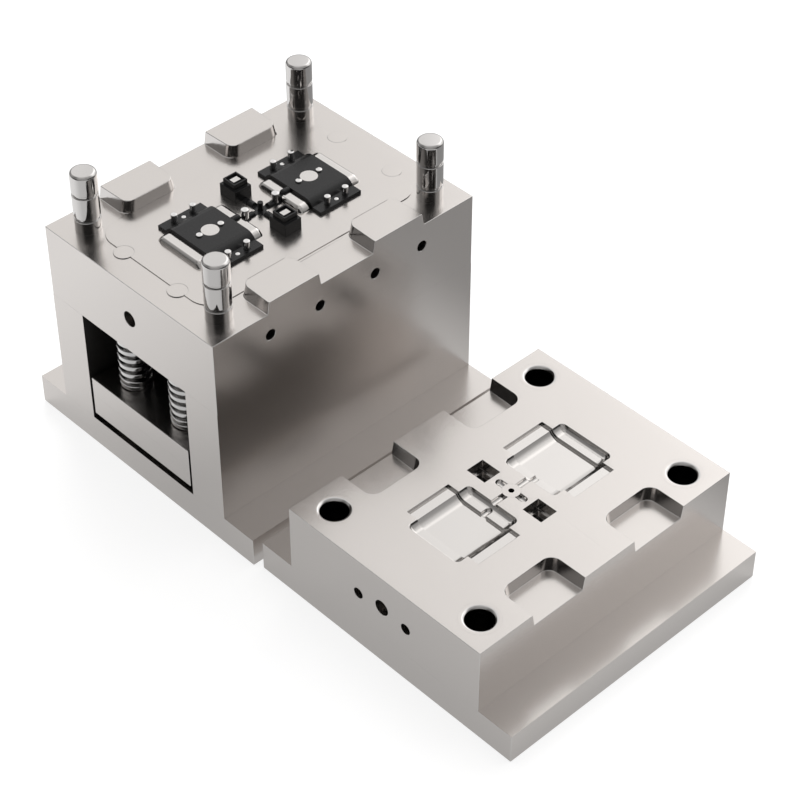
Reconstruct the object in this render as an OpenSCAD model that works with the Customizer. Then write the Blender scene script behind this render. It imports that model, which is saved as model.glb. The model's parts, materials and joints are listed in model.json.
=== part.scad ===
// Two-plate injection mould, lying open: the moving half with its ejector set and the last shot
// still on the core, and beside it the fixed half with its cavities turned up. Millimetres.

/* [Mould base] */
// Width of the plates along X, without the clamping edges
plate_w = 150; // [140:1:200]
// Depth of every plate along Y
plate_d = 200; // [194:1:260]
// Clamping edge that each clamp plate stands out, each side
clamp_over = 25; // [15:1:35]
// Thickness of both clamp plates
clamp_t = 20; // [16:1:30]
// Thickness of the core plate
core_plate_t = 50; // [46:1:70]
// Thickness of the cavity plate
cavity_plate_t = 45; // [40:1:70]
// Gap between the two halves' clamp plates as they lie
half_gap = 5.3; // [2:0.1:40]
// How far the fixed half lies further back than the moving half
half_shift = 2.8; // [0:0.1:20]

/* [Spacer blocks and ejector set] */
// Height of the spacer blocks
spacer_h = 80; // [74:1:110]
// Width of each spacer block
spacer_w = 28; // [24:1:28]
// Gap between the ejector plates and the spacer blocks
ejector_gap = 2; // [1:0.5:5]
// Thickness of the ejector base plate
eject_base_t = 15; // [10:1:18]
// Thickness of the ejector retainer plate
retainer_t = 13; // [9:1:16]
// Height of the rest buttons under the ejector plates
rest_h = 5; // [3:0.5:8]
// Radius of the rest buttons
rest_r = 8; // [5:0.5:10]
// Radius of the ejector rod hole in the moving clamp plate
rod_hole_r = 15; // [10:1:20]
// Radius of the ejector rod thread in the ejector base plate
rod_thread_r = 5.1; // [4:0.1:7]

/* [Guides] */
// Guide pin radius
guide_r = 8; // [6:0.5:8.5]
// Guide pin length above the core plate
guide_len = 40; // [25:1:44]
// Guide pin centres in from the plate edges
guide_inset = 18; // [17:0.5:19]
// Shift of the odd guide pin, so that the halves close one way only
guide_odd = 2; // [1:0.5:3]
// Guide bush wall
bush_wall = 4; // [3:0.5:4.5]
// Rounding of the guide pin tip and of the bush mouth
guide_round = 2; // [0.5:0.25:2.5]
// Height of guide pin and bush collars
collar_h = 6; // [4:0.5:8]
// How far the collars stand out
collar_w = 2; // [1:0.25:2.5]

/* [Core insert and shot] */
// Land between the core insert and the plate's edges along X
insert_land_x = 25; // [22:0.5:26]
// Land between the core insert and the plate's edges along Y
insert_land_y = 17.5; // [14:0.5:20]
// Least wall between the insert's corners and the guide pins
insert_clear = 2; // [1:0.25:3]
// Depth of the pocket that holds the core insert
insert_t = 30; // [26:1:32]
// How far the insert face stands above the core plate
insert_proud = 0.5; // [0.2:0.1:1]
// Panel cores from the middle along Y
panel_y = 38; // [36.5:0.5:42]
// Width of a panel's flat wings along X, down to the arched core
wing_l = 8.3; // [7.8:0.1:10]
// Length of an arched panel core along Y
arch_l = 48; // [44:1:50]
// Height of the arched panel core
arch_h = 3.8; // [2.5:0.1:5]
// Shoulder radius of the arch
arch_r = 6; // [5.5:0.5:12]
// Moulded panel length along X
panel_l = 56; // [54:1:60]
// Moulded panel depth along Y
panel_d = 32; // [30:1:34]
// Wall of the moulded panel
panel_t = 2; // [1.2:0.1:2.6]
// Round window in the panel, where the core shows
panel_eye_r = 5.5; // [3:0.25:6]
// Pins beside the round window, from its centre
eye_pin_y = 8; // [7.8:0.1:9]
// How far the pins beside the window stand out of the panel
eye_pin_out = 0.9; // [0:0.1:2]
// Wing pins in from the panel's ends along X
wing_in = 4; // [3:0.25:4.5]
// Tall wing pins from the panel's middle along Y
wing_y = 7; // [6:0.5:8]
// Height of the tall wing pins above the insert face
pin_stand = 7.5; // [6:0.5:8.5]
// Moulded boxes from the middle along X
box_x = 22; // [20:0.5:24]
// Moulded box length along X
box_l = 14; // [13:0.5:16]
// Moulded box depth along Y
box_d = 12.4; // [12:0.2:14]
// Height of the box body
box_h = 7.5; // [6:0.5:8]
// Height of the frame on top of the box
frame_h = 3.8; // [2.6:0.2:4]
// Radius of the runner arms that feed the panels
runner_r = 2.1; // [1.5:0.1:2.4]
// Radius of the runner arms that feed the boxes
branch_r = 2.3; // [1.6:0.1:2.6]
// Sprue radius where it leaves the runner
sprue_r = 1.7; // [1.4:0.1:2.2]
// Width of the plastic ring around a runner pin
pin_ring = 1.2; // [0.8:0.1:1.6]

/* [Taper locks] */
// Length of a lock along Y
lock_l = 40; // [30:1:42]
// Reach of a lock from the plate edge
lock_in = 25; // [18:1:25]
// Height of a lock
lock_h = 8; // [5:0.5:9]
// Lock centres from the middle along Y
lock_y = 40; // [36:1:42]
// Corner radius of a lock
lock_r = 7; // [3:0.5:9]
// Taper of the lock's faces in degrees
lock_taper = 10; // [5:1:12]

/* [Pins, springs and screws] */
// Return pin radius
return_r = 6; // [5:0.5:6.5]
// Return pins from the middle along X
return_x = 24; // [22:0.5:28]
// Outer radius of the return springs
spring_r = 10; // [9.5:0.25:11]
// Radial width of the spring wire
wire_w = 3; // [2:0.25:3]
// Height of the spring wire
wire_h = 3.2; // [2:0.2:3.6]
// Working turns of a return spring
spring_turns = 9; // [5:1:10]
// Ejector pin radius under the panels
eject_r = 2; // [1.25:0.25:2.25]
// Ejector pin radius under the boxes
box_eject_r = 1.1; // [0.8:0.1:1.2]
// Radius of the pins that push the runner off
runner_pin_r = 2.4; // [1.5:0.1:2.6]
// Plate screw radius
screw_r = 5; // [4:0.5:6]
// Plate screws from the middle along Y
screw_y = 52; // [44:1:60]
// Small screw radius, for the insert and the ejector plates
small_screw_r = 3; // [2:0.5:4]
// Water channel radius
water_r = 3.5; // [2.5:0.25:4]
// Lifting eye thread radius
eye_r = 5; // [3:0.5:6]

/* [Fixed half] */
// Radius of the sprue bush shank, seen on the parting face
bush_r = 5.5; // [4.5:0.25:6]
// Radius of the sprue bush flange
flange_r = 19; // [16:1:24]
// Thickness of the sprue bush flange
flange_t = 9; // [7:0.5:10]
// Radius of the locating ring seat
ring_r = 45; // [35:1:50]
// Depth of the locating ring seat
ring_depth = 5; // [3:0.5:6]
// Water channels of the cavity plate, from the middle along X
cavity_water_x = 18.7; // [16:0.1:20]

/* [Hidden] */

$fn = 64;
over = 1;            // cuts run this far past a face
seat_gap = 0.02;     // radial gap of pieces pressed or bolted in
slide_gap = 0.05;    // radial gap of sliding pins
shot_gap = 0.05;     // shrinkage gap between the shot and the steel
ring_lift = 0.2;     // side gap that lets the rings round the runner pins lift past the ribs
screw_gap = 0.5;     // radial gap of a screw in its clearance hole
hole_gap = 0.75;     // radial gap of a pin in its clearance hole
pin_collar = 1.5;    // how far a pin's collar stands out at its foot
core_foot = 4;       // height of the core pins' collars
return_foot = 5;     // height of the return pins' collars
eject_foot = 3;      // height of the ejector pins' collars
coil_gap = 0.3;      // gap between the closed end turns of a spring
lock_round = 0.5;    // how much tighter a lock's corners are at its top
skin = 0.01;         // thickness of the slices that a hull spans

clamp_w = plate_w + 2 * clamp_over;
half_pitch = clamp_w + half_gap;
ejector_w = plate_w - 2 * spacer_w - 2 * ejector_gap;
insert_w = plate_w - 2 * insert_land_x;
insert_d = plate_d - 2 * insert_land_y;

// heights in the moving half
spacer_z = clamp_t;
rest_z = clamp_t + rest_h;
pin_seat_z = rest_z + eject_base_t;
retainer_z = pin_seat_z + retainer_t;
core_z = clamp_t + spacer_h;
core_top = core_z + core_plate_t;
pocket_z = core_top - insert_t;
face_z = core_top + insert_proud;

// heights in the fixed half
cavity_top = clamp_t + cavity_plate_t;
lock_clear = 1;      // depth of a lock recess beyond the lock
lock_gap = 0.3;      // side gap of a lock in its recess

// places shared by several pieces
corner_x = plate_w / 2 - guide_inset;
corner_y = plate_d / 2 - guide_inset;
screw_x = plate_w / 2 - spacer_w / 2;
return_y = insert_d / 2;                // the return pins stand on the insert's edges

// the insert's corner radius that passes the odd guide pin, the nearest one, at insert_clear
insert_min_r = 6;
past_x = corner_x - insert_w / 2;
past_y = corner_y - guide_odd - insert_d / 2;
keep_r = guide_r + insert_clear;
part_r = keep_r - past_x - past_y;
under_root = part_r * part_r - past_x * past_x - past_y * past_y + keep_r * keep_r;
insert_r = under_root < 0 ? insert_min_r : max(insert_min_r, part_r + sqrt(under_root));

arch_w = panel_l - 2 * wing_l;
wing_x = panel_l / 2 - wing_in;
rest_side = 2;          // rest buttons in from the ejector plates' sides
rest_end = 12;          // and from their ends
insert_screw_in = 13;   // insert screws in from the insert's sides
insert_screw_back = 12; // and back from the return pins
ejector_screw_in = 7;   // ejector plate screws in from the plates' sides
ejector_screw_end = 40; // and from their ends
pin_edge = 1;           // plastic left beside an ejector pin
runner_pin_drop = 0.7;  // runner pins' tops below those of the tall wing pins
guide_spots = [[-corner_x, -corner_y], [-corner_x, corner_y], [corner_x, corner_y]];
guide_odd_spot = [corner_x, -corner_y + guide_odd];
return_spots = [for (x = [-1, 1], y = [-1, 1]) [x * return_x, y * return_y]];
screw_spots = [for (x = [-1, 1], y = [-1, 1]) [x * screw_x, y * screw_y]];
rest_spots = [for (x = [-1, 1], y = [-1, 1])
              [x * (ejector_w / 2 - rest_r - rest_side), y * (plate_d / 2 - rest_r - rest_end)]];
insert_screw_spots = [for (x = [-1, 1], y = [-1, 1])
                      [x * (insert_w / 2 - insert_screw_in), y * (return_y - insert_screw_back)]];
plate_screw_spots = [for (x = [-1, 1], y = [-1, 1])
                     [x * (ejector_w / 2 - ejector_screw_in), y * (plate_d / 2 - ejector_screw_end)]];
wing_eject_y = panel_y + panel_d / 2 - eject_r - pin_edge;
wing_eject_spots = [for (x = [-wing_x, wing_x], y = [-1, 1]) [x, y * wing_eject_y]];
arch_eject_x = 7.5;
arch_eject_in = 6.5;
arch_eject_y = panel_y - panel_d / 2 + arch_eject_in;
arch_eject_spots = [for (x = [-arch_eject_x, arch_eject_x], y = [-1, 1]) [x, y * arch_eject_y]];
panel_pin_spots = concat(wing_eject_spots, arch_eject_spots);
box_wall = 2.2;
box_core_l = box_l - 2 * box_wall;
box_core_d = box_d - 2 * box_wall;
tower_l = 4;
tower_d = 5.5;
tower_sink = 0.6;                       // tower top below the frame's rim
box_pin_x = (tower_l + box_core_l) / 4;
box_pin_y = 2;
box_pin_spots = [for (b = [-box_x, box_x], s = [-1, 1]) [b + s * box_pin_x, s * box_pin_y]];
runner_pin_y = 11.75;
runner_pin_spots = [[0, -runner_pin_y], [0, runner_pin_y]];
hub_land = bush_r;                      // inside this the sprue bush closes the runner
gate_y1 = panel_y - panel_d / 2;        // where a gate meets its panel
gate_y0 = panel_y - arch_l / 2;         // where the panel core's rib begins
gate_y2 = gate_y0 + arch_h;             // end of the gate's rounded back
rib_foot = 0.1;                         // least upright foot under a rib's rounded end
rib_end_r = min(arch_h, arch_r / 2) - rib_foot;
rib_foot_h = arch_h - rib_end_r;
rib_y = gate_y0 + rib_end_r;            // where a rib's rounded end begins
arm_reach = 11.7;
arm_end_x = arm_reach - branch_r;       // centre of the rounded arm end towards a box
arm_over = 0.5;                         // how far the arms run into the gates
arm_under = 1;                          // how far they run on under the boxes
slot_half = 0.85 * runner_r;            // half the width of a gate's slot through the rib
arch_flat = arch_w / 2 - sqrt(2 * arch_r * arch_h - arch_h * arch_h);
water_depth = 15;                       // water channels below the core plate's face
water_out = 20.5;                       // outer channels from the panels' middles
water_in = 16.75;                       // inner channels from the panels' middles
water_z = core_top - water_depth;
water_y = [-panel_y - water_out, -panel_y + water_in, panel_y - water_in, panel_y + water_out];
cavity_water_depth = 25;
cavity_water_z = cavity_top - cavity_water_depth;
eye_z = core_z + core_plate_t / 2;
eye_depth = 15;
slug_depth = 4;                         // sprue puller top below the insert face
roof_z = box_h - panel_t;               // under side of the box roof above the face
frame_l = 10.4;
frame_d = 10;
frame_rim = 1.1;
frame_well = 1.8;

// screw proportions, from the shank radius
function head_r(r) = 1.6 * r;
function head_h(r) = 2 * r;
thread_in = 2 * screw_r;                // how deep a plate screw bites
small_thread_in = 3 * small_screw_r;
head_sink = 1;                          // heads sit this far below the face

module at_core() translate([-half_pitch / 2, -half_shift / 2, 0]) children();
module at_cavity() translate([half_pitch / 2, half_shift / 2, 0]) children();

// turns what stands on the core face over into the cavity plate's parting face
module turned_over() translate([0, 0, cavity_top]) rotate([180, 0, 0]) children();

module slab(w, d, z0, z1) translate([-w / 2, -d / 2, z0]) cube([w, d, z1 - z0]);

module bar(spot, r, z0, z1) translate([spot[0], spot[1], z0]) cylinder(r = r, h = z1 - z0);

module round_slab(w, d, r, z0, z1) {
    slab(w - 2 * r, d, z0, z1);
    slab(w, d - 2 * r, z0, z1);
    for (x = [-1, 1], y = [-1, 1]) bar([x * (w / 2 - r), y * (d / 2 - r)], r, z0, z1);
}

// socket head screw standing on its head at z0, shank upwards
module cap_screw(spot, r, z0, len) {
    translate([spot[0], spot[1], z0]) difference() {
        union() {
            cylinder(r = head_r(r), h = head_h(r));
            cylinder(r = r, h = head_h(r) + len);
        }
        translate([0, 0, -over]) cylinder(r = 0.9 * r, h = r + over, $fn = 6);
    }
}

// room for a screw's head and shank, from the face that its head sinks into
module screw_room(spot, r, z0, z1) {
    bar(spot, r + screw_gap, z0 - over, z1);
    bar(spot, head_r(r) + screw_gap, z0 - over, z0 + head_sink + head_h(r));
}

// pin with a collar at its foot and a flat top
module headed_pin(spot, r, z0, z1, foot) {
    bar(spot, r, z0, z1);
    bar(spot, r + pin_collar, z0, z0 + foot);
}

// arched form grown by g, standing on z = 0, with square ends
module arch(g, len) {
    r = arch_r + g;
    reach = arch_flat + sqrt(r * r - pow(arch_r - arch_h, 2));
    slab(2 * arch_flat, len, 0, arch_h + g);
    for (s = [-1, 1]) intersection() {
        translate([s * arch_flat, 0, arch_h - arch_r])
            rotate([90, 0, 0]) cylinder(r = r, h = len, center = true, $fn = 128);
        translate([s * reach / 2, 0, 0]) slab(reach, len, 0, arch_h + g);
    }
}

// the same form with its ends rounded over, as the panel core has it
module rounded_arch(g) {
    e = rib_end_r + g;
    r = arch_r + g;
    half = arch_l / 2 + g;
    reach = arch_flat + sqrt(r * r - pow(arch_r - arch_h, 2));
    slab(2 * arch_flat, 2 * (half - e), 0, arch_h + g);
    slab(2 * arch_flat, 2 * half, 0, rib_foot_h);
    intersection() {
        slab(2 * arch_flat, 2 * half, 0, arch_h + g);
        for (y = [-1, 1]) translate([0, y * (half - e), rib_foot_h])
            rotate([0, 90, 0]) cylinder(r = e, h = 2 * arch_flat, center = true);
    }
    for (s = [-1, 1]) intersection() {
        translate([s * reach / 2, 0, 0]) slab(reach, 2 * half, 0, arch_h + g);
        translate([s * arch_flat, 0, arch_h - arch_r]) rotate([90, 0, 0])
            rotate_extrude($fn = 128) {
                translate([0, e - half]) square([r, 2 * (half - e)]);
                translate([0, -half]) square([r - e, 2 * half]);
                for (y = [-1, 1]) translate([r - e, y * (half - e)]) circle(r = e, $fn = 64);
            }
    }
}

// tapered lock on the plate edge at +X, its foot on z = 0, grown by g
module lock(g, h) {
    lean = h * tan(lock_taper);
    top_r = lock_r - lock_round;
    x0 = plate_w / 2 - lock_in - g;
    side = lock_l / 2 + g;
    hull() {
        for (y = [-1, 1]) {
            translate([x0 + lock_r, y * (side - lock_r), 0]) cylinder(r = lock_r, h = skin, $fn = 32);
            translate([x0 + lock_r, y * (side - lean - lock_r), h - skin])
                cylinder(r = top_r, h = skin, $fn = 32);
        }
        translate([plate_w / 2 - 1, -side, 0]) cube([1, 2 * side, skin]);
        translate([plate_w / 2 - 1, -side + lean, h - skin]) cube([1, 2 * (side - lean), skin]);
    }
}

module each_lock() for (x = [0, 1], y = [-1, 1]) mirror([x, 0, 0]) translate([0, y * lock_y, 0]) children();

// round arms crossing on z = 0, as far as reach_x and reach_y from the middle
module arms(g, reach_x, reach_y) {
    rotate([0, 90, 0]) cylinder(r = branch_r + g, h = 2 * reach_x, center = true);
    rotate([90, 0, 0]) cylinder(r = runner_r + g, h = 2 * reach_y, center = true);
}

// arms of the cavity's side, which end in half balls before the boxes
module upper_arms() {
    arms(0, arm_end_x, gate_y0 + arm_over);
    for (s = [-1, 1]) translate([s * arm_end_x, 0, 0]) sphere(r = branch_r);
}

// arms of the core's side, which run on under the boxes' walls, with a ring around each pin
module lower_arms(g) {
    arms(g, box_x - box_l / 2 + arm_under, gate_y0 + arm_over);
    for (s = runner_pin_spots) bar(s, runner_pin_r + pin_ring + g, -runner_r - g, 0);
}

// gate over each panel core's rib: its rounded back
module gate_backs(g) for (s = [-1, 1]) {
    translate([0, s * (gate_y2 + gate_y1) / 2, arch_h]) rotate([90, 0, 0])
        cylinder(r = runner_r + g, h = gate_y1 - gate_y2, center = true);
    translate([0, s * gate_y2, arch_h]) sphere(r = runner_r + g);
}

// plastic in the slots through the ribs, level with their rounded ends
module gate_fill() for (s = [-1, 1]) {
    translate([0, s * rib_y, rib_foot_h]) intersection() {
        slab(2 * slot_half, 2 * rib_end_r, 0, rib_end_r);
        rotate([0, 90, 0]) cylinder(r = rib_end_r, h = 2 * slot_half, center = true);
    }
    translate([0, s * (gate_y0 + rib_y) / 2, 0]) slab(2 * slot_half, rib_y - gate_y0, 0, rib_foot_h);
    translate([0, s * (rib_y + gate_y1) / 2, 0]) slab(2 * slot_half, gate_y1 - rib_y, 0, arch_h);
}

// coiled return spring between two heights, of flat wire with closed ends
function coil_z(t, z0, z1) =
    let (closed = wire_h + coil_gap, rise = (z1 - z0 - wire_h - 2 * closed) / spring_turns)
    t < 1 ? z0 + t * closed
    : t > spring_turns + 1 ? z1 - wire_h - (spring_turns + 2 - t) * closed
    : z0 + closed + (t - 1) * rise;

module return_spring(z0, z1) {
    steps = 16;
    rings = (spring_turns + 2) * steps;
    in_r = spring_r - wire_w;
    pts = [for (i = [0:rings]) let (t = i / steps, a = 360 * t, z = coil_z(t, z0, z1))
           for (c = [[in_r, 0], [spring_r, 0], [spring_r, wire_h], [in_r, wire_h]])
           [c[0] * cos(a), c[0] * sin(a), z + c[1]]];
    sides = [for (i = [0:rings - 1], k = [0:3]) let (a = 4 * i + k, b = 4 * i + (k + 1) % 4)
             [a, b, b + 4, a + 4]];
    last = 4 * rings;
    polyhedron(points = pts, faces = concat([[3, 2, 1, 0]], sides,
               [[last, last + 1, last + 2, last + 3]]), convexity = 20);
}

module bottom_clamp_plate() color("gainsboro") at_core() difference() {
    slab(clamp_w, plate_d, 0, clamp_t);
    bar([0, 0], rod_hole_r, -over, clamp_t + over);
    for (s = screw_spots) screw_room(s, screw_r, 0, clamp_t + over);
    for (s = rest_spots) bar(s, rest_r / 2 + seat_gap, clamp_t - rest_h - over, clamp_t + over);
}

module spacer_block(side) difference() {
    translate([side * screw_x, 0, 0]) slab(spacer_w, plate_d, spacer_z, core_z);
    for (s = screw_spots) bar(s, screw_r + screw_gap, spacer_z - over, core_z + over);
}

module spacer_block_left() color("lightgray") at_core() spacer_block(-1);

module spacer_block_right() color("lightgray") at_core() spacer_block(1);

spring_pocket = 15;

module core_plate() color("gainsboro") at_core() difference() {
    union() {
        slab(plate_w, plate_d, core_z, core_top);
        translate([0, 0, core_top]) each_lock() lock(0, lock_h);
    }
    round_slab(insert_w + 2 * seat_gap, insert_d + 2 * seat_gap, insert_r + seat_gap,
               pocket_z, core_top + over);
    for (s = concat(guide_spots, [guide_odd_spot])) {
        bar(s, guide_r + seat_gap, core_z - over, core_top + over);
        bar(s, guide_r + collar_w + seat_gap, core_z - over, core_z + collar_h);
    }
    for (s = return_spots) {
        bar(s, return_r + slide_gap, core_z - over, core_top + over);
        bar(s, spring_r + 1, core_z - over, core_z + spring_pocket);
    }
    for (s = screw_spots) bar(s, screw_r + seat_gap, core_z - over, core_z + thread_in + over);
    for (s = insert_screw_spots) screw_room(s, small_screw_r, core_z, pocket_z + over);
    for (s = concat(panel_pin_spots, runner_pin_spots, [[0, 0]]))
        bar(s, runner_pin_r + hole_gap, core_z - over, pocket_z + over);
    for (s = box_pin_spots) bar(s, box_eject_r + hole_gap, core_z - over, pocket_z + over);
    for (y = water_y) translate([0, y, water_z]) rotate([0, 90, 0])
        cylinder(r = water_r, h = plate_w + 2 * over, center = true);
    translate([0, -plate_d / 2 - over, eye_z]) rotate([-90, 0, 0])
        cylinder(r = eye_r, h = eye_depth + over);
}

// places of the fixed pins that shape holes in the panels
eye_pin_spots = [for (p = [-panel_y, panel_y], y = [-eye_pin_y, eye_pin_y]) [0, p + y]];
tall_pin_spots = [for (p = [-panel_y, panel_y], x = [-wing_x, wing_x], y = [-wing_y, wing_y]) [x, p + y]];
wing_pin_spots = [for (p = [-panel_y, panel_y], x = [-wing_x, wing_x]) [x, p]];
core_pin_r = 2;
wing_pin_r = 1.5;

module core_insert() color("gainsboro") at_core() difference() {
    union() {
        round_slab(insert_w, insert_d, insert_r, pocket_z, face_z);
        for (p = [-panel_y, panel_y]) translate([0, p, face_z]) {
            rounded_arch(0);
            cylinder(r = panel_eye_r - shot_gap, h = arch_h + panel_t);
        }
        for (b = [-box_x, box_x]) translate([b, 0, 0]) {
            slab(box_core_l, box_core_d, face_z, face_z + roof_z);
            slab(tower_l, tower_d, face_z, face_z + box_h + frame_h - tower_sink);
        }
    }
    for (s = return_spots) bar(s, return_r + slide_gap, pocket_z - over, face_z + over);
    for (s = insert_screw_spots)
        bar(s, small_screw_r + seat_gap, pocket_z - over, pocket_z + small_thread_in + over);
    for (s = panel_pin_spots) bar(s, eject_r + slide_gap, pocket_z - over, face_z + arch_h + over);
    for (s = box_pin_spots) bar(s, box_eject_r + slide_gap, pocket_z - over, face_z + box_h);
    for (s = runner_pin_spots) bar(s, runner_pin_r + slide_gap, pocket_z - over, face_z + over);
    bar([0, 0], sprue_r + slide_gap, pocket_z - over, face_z + over);
    for (s = concat(eye_pin_spots, tall_pin_spots))
        bar(s, core_pin_r + seat_gap, pocket_z - over, face_z + arch_h + over);
    for (s = wing_pin_spots) bar(s, wing_pin_r + seat_gap, pocket_z - over, face_z + over);
    for (s = concat(eye_pin_spots, tall_pin_spots))
        bar(s, core_pin_r + pin_collar + seat_gap, pocket_z - over, pocket_z + core_foot);
    for (s = wing_pin_spots)
        bar(s, wing_pin_r + pin_collar + seat_gap, pocket_z - over, pocket_z + core_foot);
    for (y = water_y) translate([0, y, water_z]) rotate([0, 90, 0])
        cylinder(r = water_r, h = insert_w + 2 * over, center = true);
    translate([0, 0, face_z]) {
        lower_arms(shot_gap);
        gate_backs(shot_gap);
        for (s = [-1, 1]) translate([0, s * (gate_y0 + gate_y1) / 2, 0])
            slab(2 * (slot_half + shot_gap), gate_y1 - gate_y0 + 2 * shot_gap, 0, arch_h + over);
        for (s = [-1, 1]) translate([0, s * gate_y0, 0])
            slab(2 * (runner_r + 2 * shot_gap), 2 * (arm_over + shot_gap), 0, arch_h + over);
        for (s = runner_pin_spots) bar(s, runner_pin_r + pin_ring + ring_lift, 0, arch_h + over);
    }
}

module core_insert_screws() color("dimgray") at_core()
    for (s = insert_screw_spots)
        cap_screw(s, small_screw_r, core_z + head_sink,
                  pocket_z - core_z - head_sink - head_h(small_screw_r) + small_thread_in);

module core_pins() color("silver") at_core() {
    for (s = eye_pin_spots)
        headed_pin(s, core_pin_r, pocket_z, face_z + arch_h + panel_t + eye_pin_out, core_foot);
    for (s = tall_pin_spots) headed_pin(s, core_pin_r, pocket_z, face_z + pin_stand, core_foot);
    for (s = wing_pin_spots) headed_pin(s, wing_pin_r, pocket_z, face_z + panel_t, core_foot);
}

groove_w = 1.6;      // oil grooves of the guide pins
groove_depth = 0.5;
groove_at = [9, 25.5];
groove_end = 4;      // least distance of a groove from the pin's tip

module guide_pin(spot) translate([spot[0], spot[1], core_z]) difference() {
    rotate_extrude() {
        square([guide_r + collar_w, collar_h]);
        square([guide_r, core_plate_t + guide_len - guide_round]);
        square([guide_r - guide_round, core_plate_t + guide_len]);
        translate([guide_r - guide_round, core_plate_t + guide_len - guide_round]) intersection() {
            circle(r = guide_round);
            square(guide_round);
        }
    }
    for (g = groove_at) translate([0, 0, core_plate_t + min(g, guide_len - groove_end) - groove_w / 2])
        rotate_extrude() translate([guide_r - groove_depth, 0]) square([groove_depth + over, groove_w]);
}

module guide_pins() color("silver") at_core() for (s = guide_spots) guide_pin(s);

module offset_guide_pin() color("silver") at_core() guide_pin(guide_odd_spot);

module core_half_screws() color("dimgray") at_core()
    for (s = screw_spots)
        cap_screw(s, screw_r, head_sink, core_z - head_sink - head_h(screw_r) + thread_in);

module rest_buttons() color("silver") at_core() for (s = rest_spots) {
    bar(s, rest_r, clamp_t, clamp_t + rest_h);
    bar(s, rest_r / 2, clamp_t - rest_h, clamp_t + over);
}

module ejector_base_plate() color("lightgray") at_core() difference() {
    slab(ejector_w, plate_d, rest_z, pin_seat_z);
    for (s = plate_screw_spots) screw_room(s, small_screw_r, rest_z, pin_seat_z + over);
    bar([0, 0], rod_thread_r, rest_z - over, pin_seat_z + over);
}

module ejector_retainer_plate() color("lightgray") at_core() difference() {
    slab(ejector_w, plate_d, pin_seat_z, retainer_z);
    for (s = plate_screw_spots) bar(s, small_screw_r + seat_gap, pin_seat_z - over, retainer_z + over);
    for (s = return_spots) {
        bar(s, return_r + seat_gap, pin_seat_z - over, retainer_z + over);
        bar(s, return_r + pin_collar + seat_gap, pin_seat_z - over, pin_seat_z + return_foot);
    }
    for (s = panel_pin_spots) {
        bar(s, eject_r + seat_gap, pin_seat_z - over, retainer_z + over);
        bar(s, eject_r + pin_collar + seat_gap, pin_seat_z - over, pin_seat_z + eject_foot);
    }
    for (s = box_pin_spots) {
        bar(s, box_eject_r + seat_gap, pin_seat_z - over, retainer_z + over);
        bar(s, box_eject_r + pin_collar + seat_gap, pin_seat_z - over, pin_seat_z + eject_foot);
    }
    for (s = runner_pin_spots) {
        bar(s, runner_pin_r + seat_gap, pin_seat_z - over, retainer_z + over);
        bar(s, runner_pin_r + pin_collar + seat_gap, pin_seat_z - over, pin_seat_z + eject_foot);
    }
    bar([0, 0], sprue_r + seat_gap, pin_seat_z - over, retainer_z + over);
    bar([0, 0], sprue_r + pin_collar + seat_gap, pin_seat_z - over, pin_seat_z + eject_foot);
}

module ejector_plate_screws() color("dimgray") at_core()
    for (s = plate_screw_spots)
        cap_screw(s, small_screw_r, rest_z + head_sink,
                  pin_seat_z - rest_z - head_sink - head_h(small_screw_r) + small_thread_in);

module return_pins() color("silver") at_core()
    for (s = return_spots) headed_pin(s, return_r, pin_seat_z, face_z, return_foot);

module return_springs() color("silver") at_core()
    for (s = return_spots) translate([s[0], s[1], 0]) return_spring(retainer_z, core_z + spring_pocket);

module ejector_pins() color("silver") at_core() {
    for (s = wing_eject_spots) headed_pin(s, eject_r, pin_seat_z, face_z, eject_foot);
    for (s = arch_eject_spots) headed_pin(s, eject_r, pin_seat_z, face_z + arch_h, eject_foot);
    for (s = box_pin_spots) headed_pin(s, box_eject_r, pin_seat_z, face_z + roof_z, eject_foot);
}

module runner_ejector_pins() color("silver") at_core()
    for (s = runner_pin_spots)
        headed_pin(s, runner_pin_r, pin_seat_z, face_z + pin_stand - runner_pin_drop, eject_foot);

module sprue_puller_pin() color("silver") at_core()
    headed_pin([0, 0], sprue_r, pin_seat_z, face_z - slug_depth, eject_foot);

// one moulded panel: flat wings and an arched middle, its centre on the origin
module panel() difference() {
    union() {
        slab(panel_l, panel_d, 0, panel_t);
        arch(panel_t, panel_d);
    }
    translate([0, 0, -over]) slab(arch_w - 2, panel_d + 2 * over, 0, over);
    arch(shot_gap, panel_d + 2 * over);
    bar([0, 0], panel_eye_r, -over, arch_h + panel_t + over);
    for (y = [-eye_pin_y, eye_pin_y]) bar([0, y], core_pin_r + shot_gap, -over, arch_h + panel_t + over);
    for (x = [-wing_x, wing_x]) {
        for (y = [-wing_y, wing_y]) bar([x, y], core_pin_r + shot_gap, -over, panel_t + over);
        bar([x, 0], wing_pin_r + shot_gap, -over, panel_t + over);
    }
}

module moulded_panel_front() color("#2b2a2c") at_core() translate([0, -panel_y, face_z]) panel();

module moulded_panel_rear() color("#2b2a2c") at_core() translate([0, panel_y, face_z]) panel();

// one moulded box: thin walled body, and a frame on top that the core tower shows in
module box() difference() {
    union() {
        slab(box_l, box_d, 0, box_h);
        slab(frame_l, frame_d, box_h - over, box_h + frame_h);
    }
    slab(box_core_l + 2 * shot_gap, box_core_d + 2 * shot_gap, -over, roof_z);
    slab(tower_l + 2 * shot_gap, tower_d + 2 * shot_gap, -over, box_h + frame_h);
    slab(frame_l - 2 * frame_rim, frame_d - 2 * frame_rim, box_h + frame_h - frame_well,
         box_h + frame_h + over);
}

module moulded_box_left() color("#2b2a2c") at_core() translate([-box_x, 0, face_z]) box();

module moulded_box_right() color("#2b2a2c") at_core() translate([box_x, 0, face_z]) box();

sprue_stub = 6;      // height of the sprue left on the runner

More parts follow.
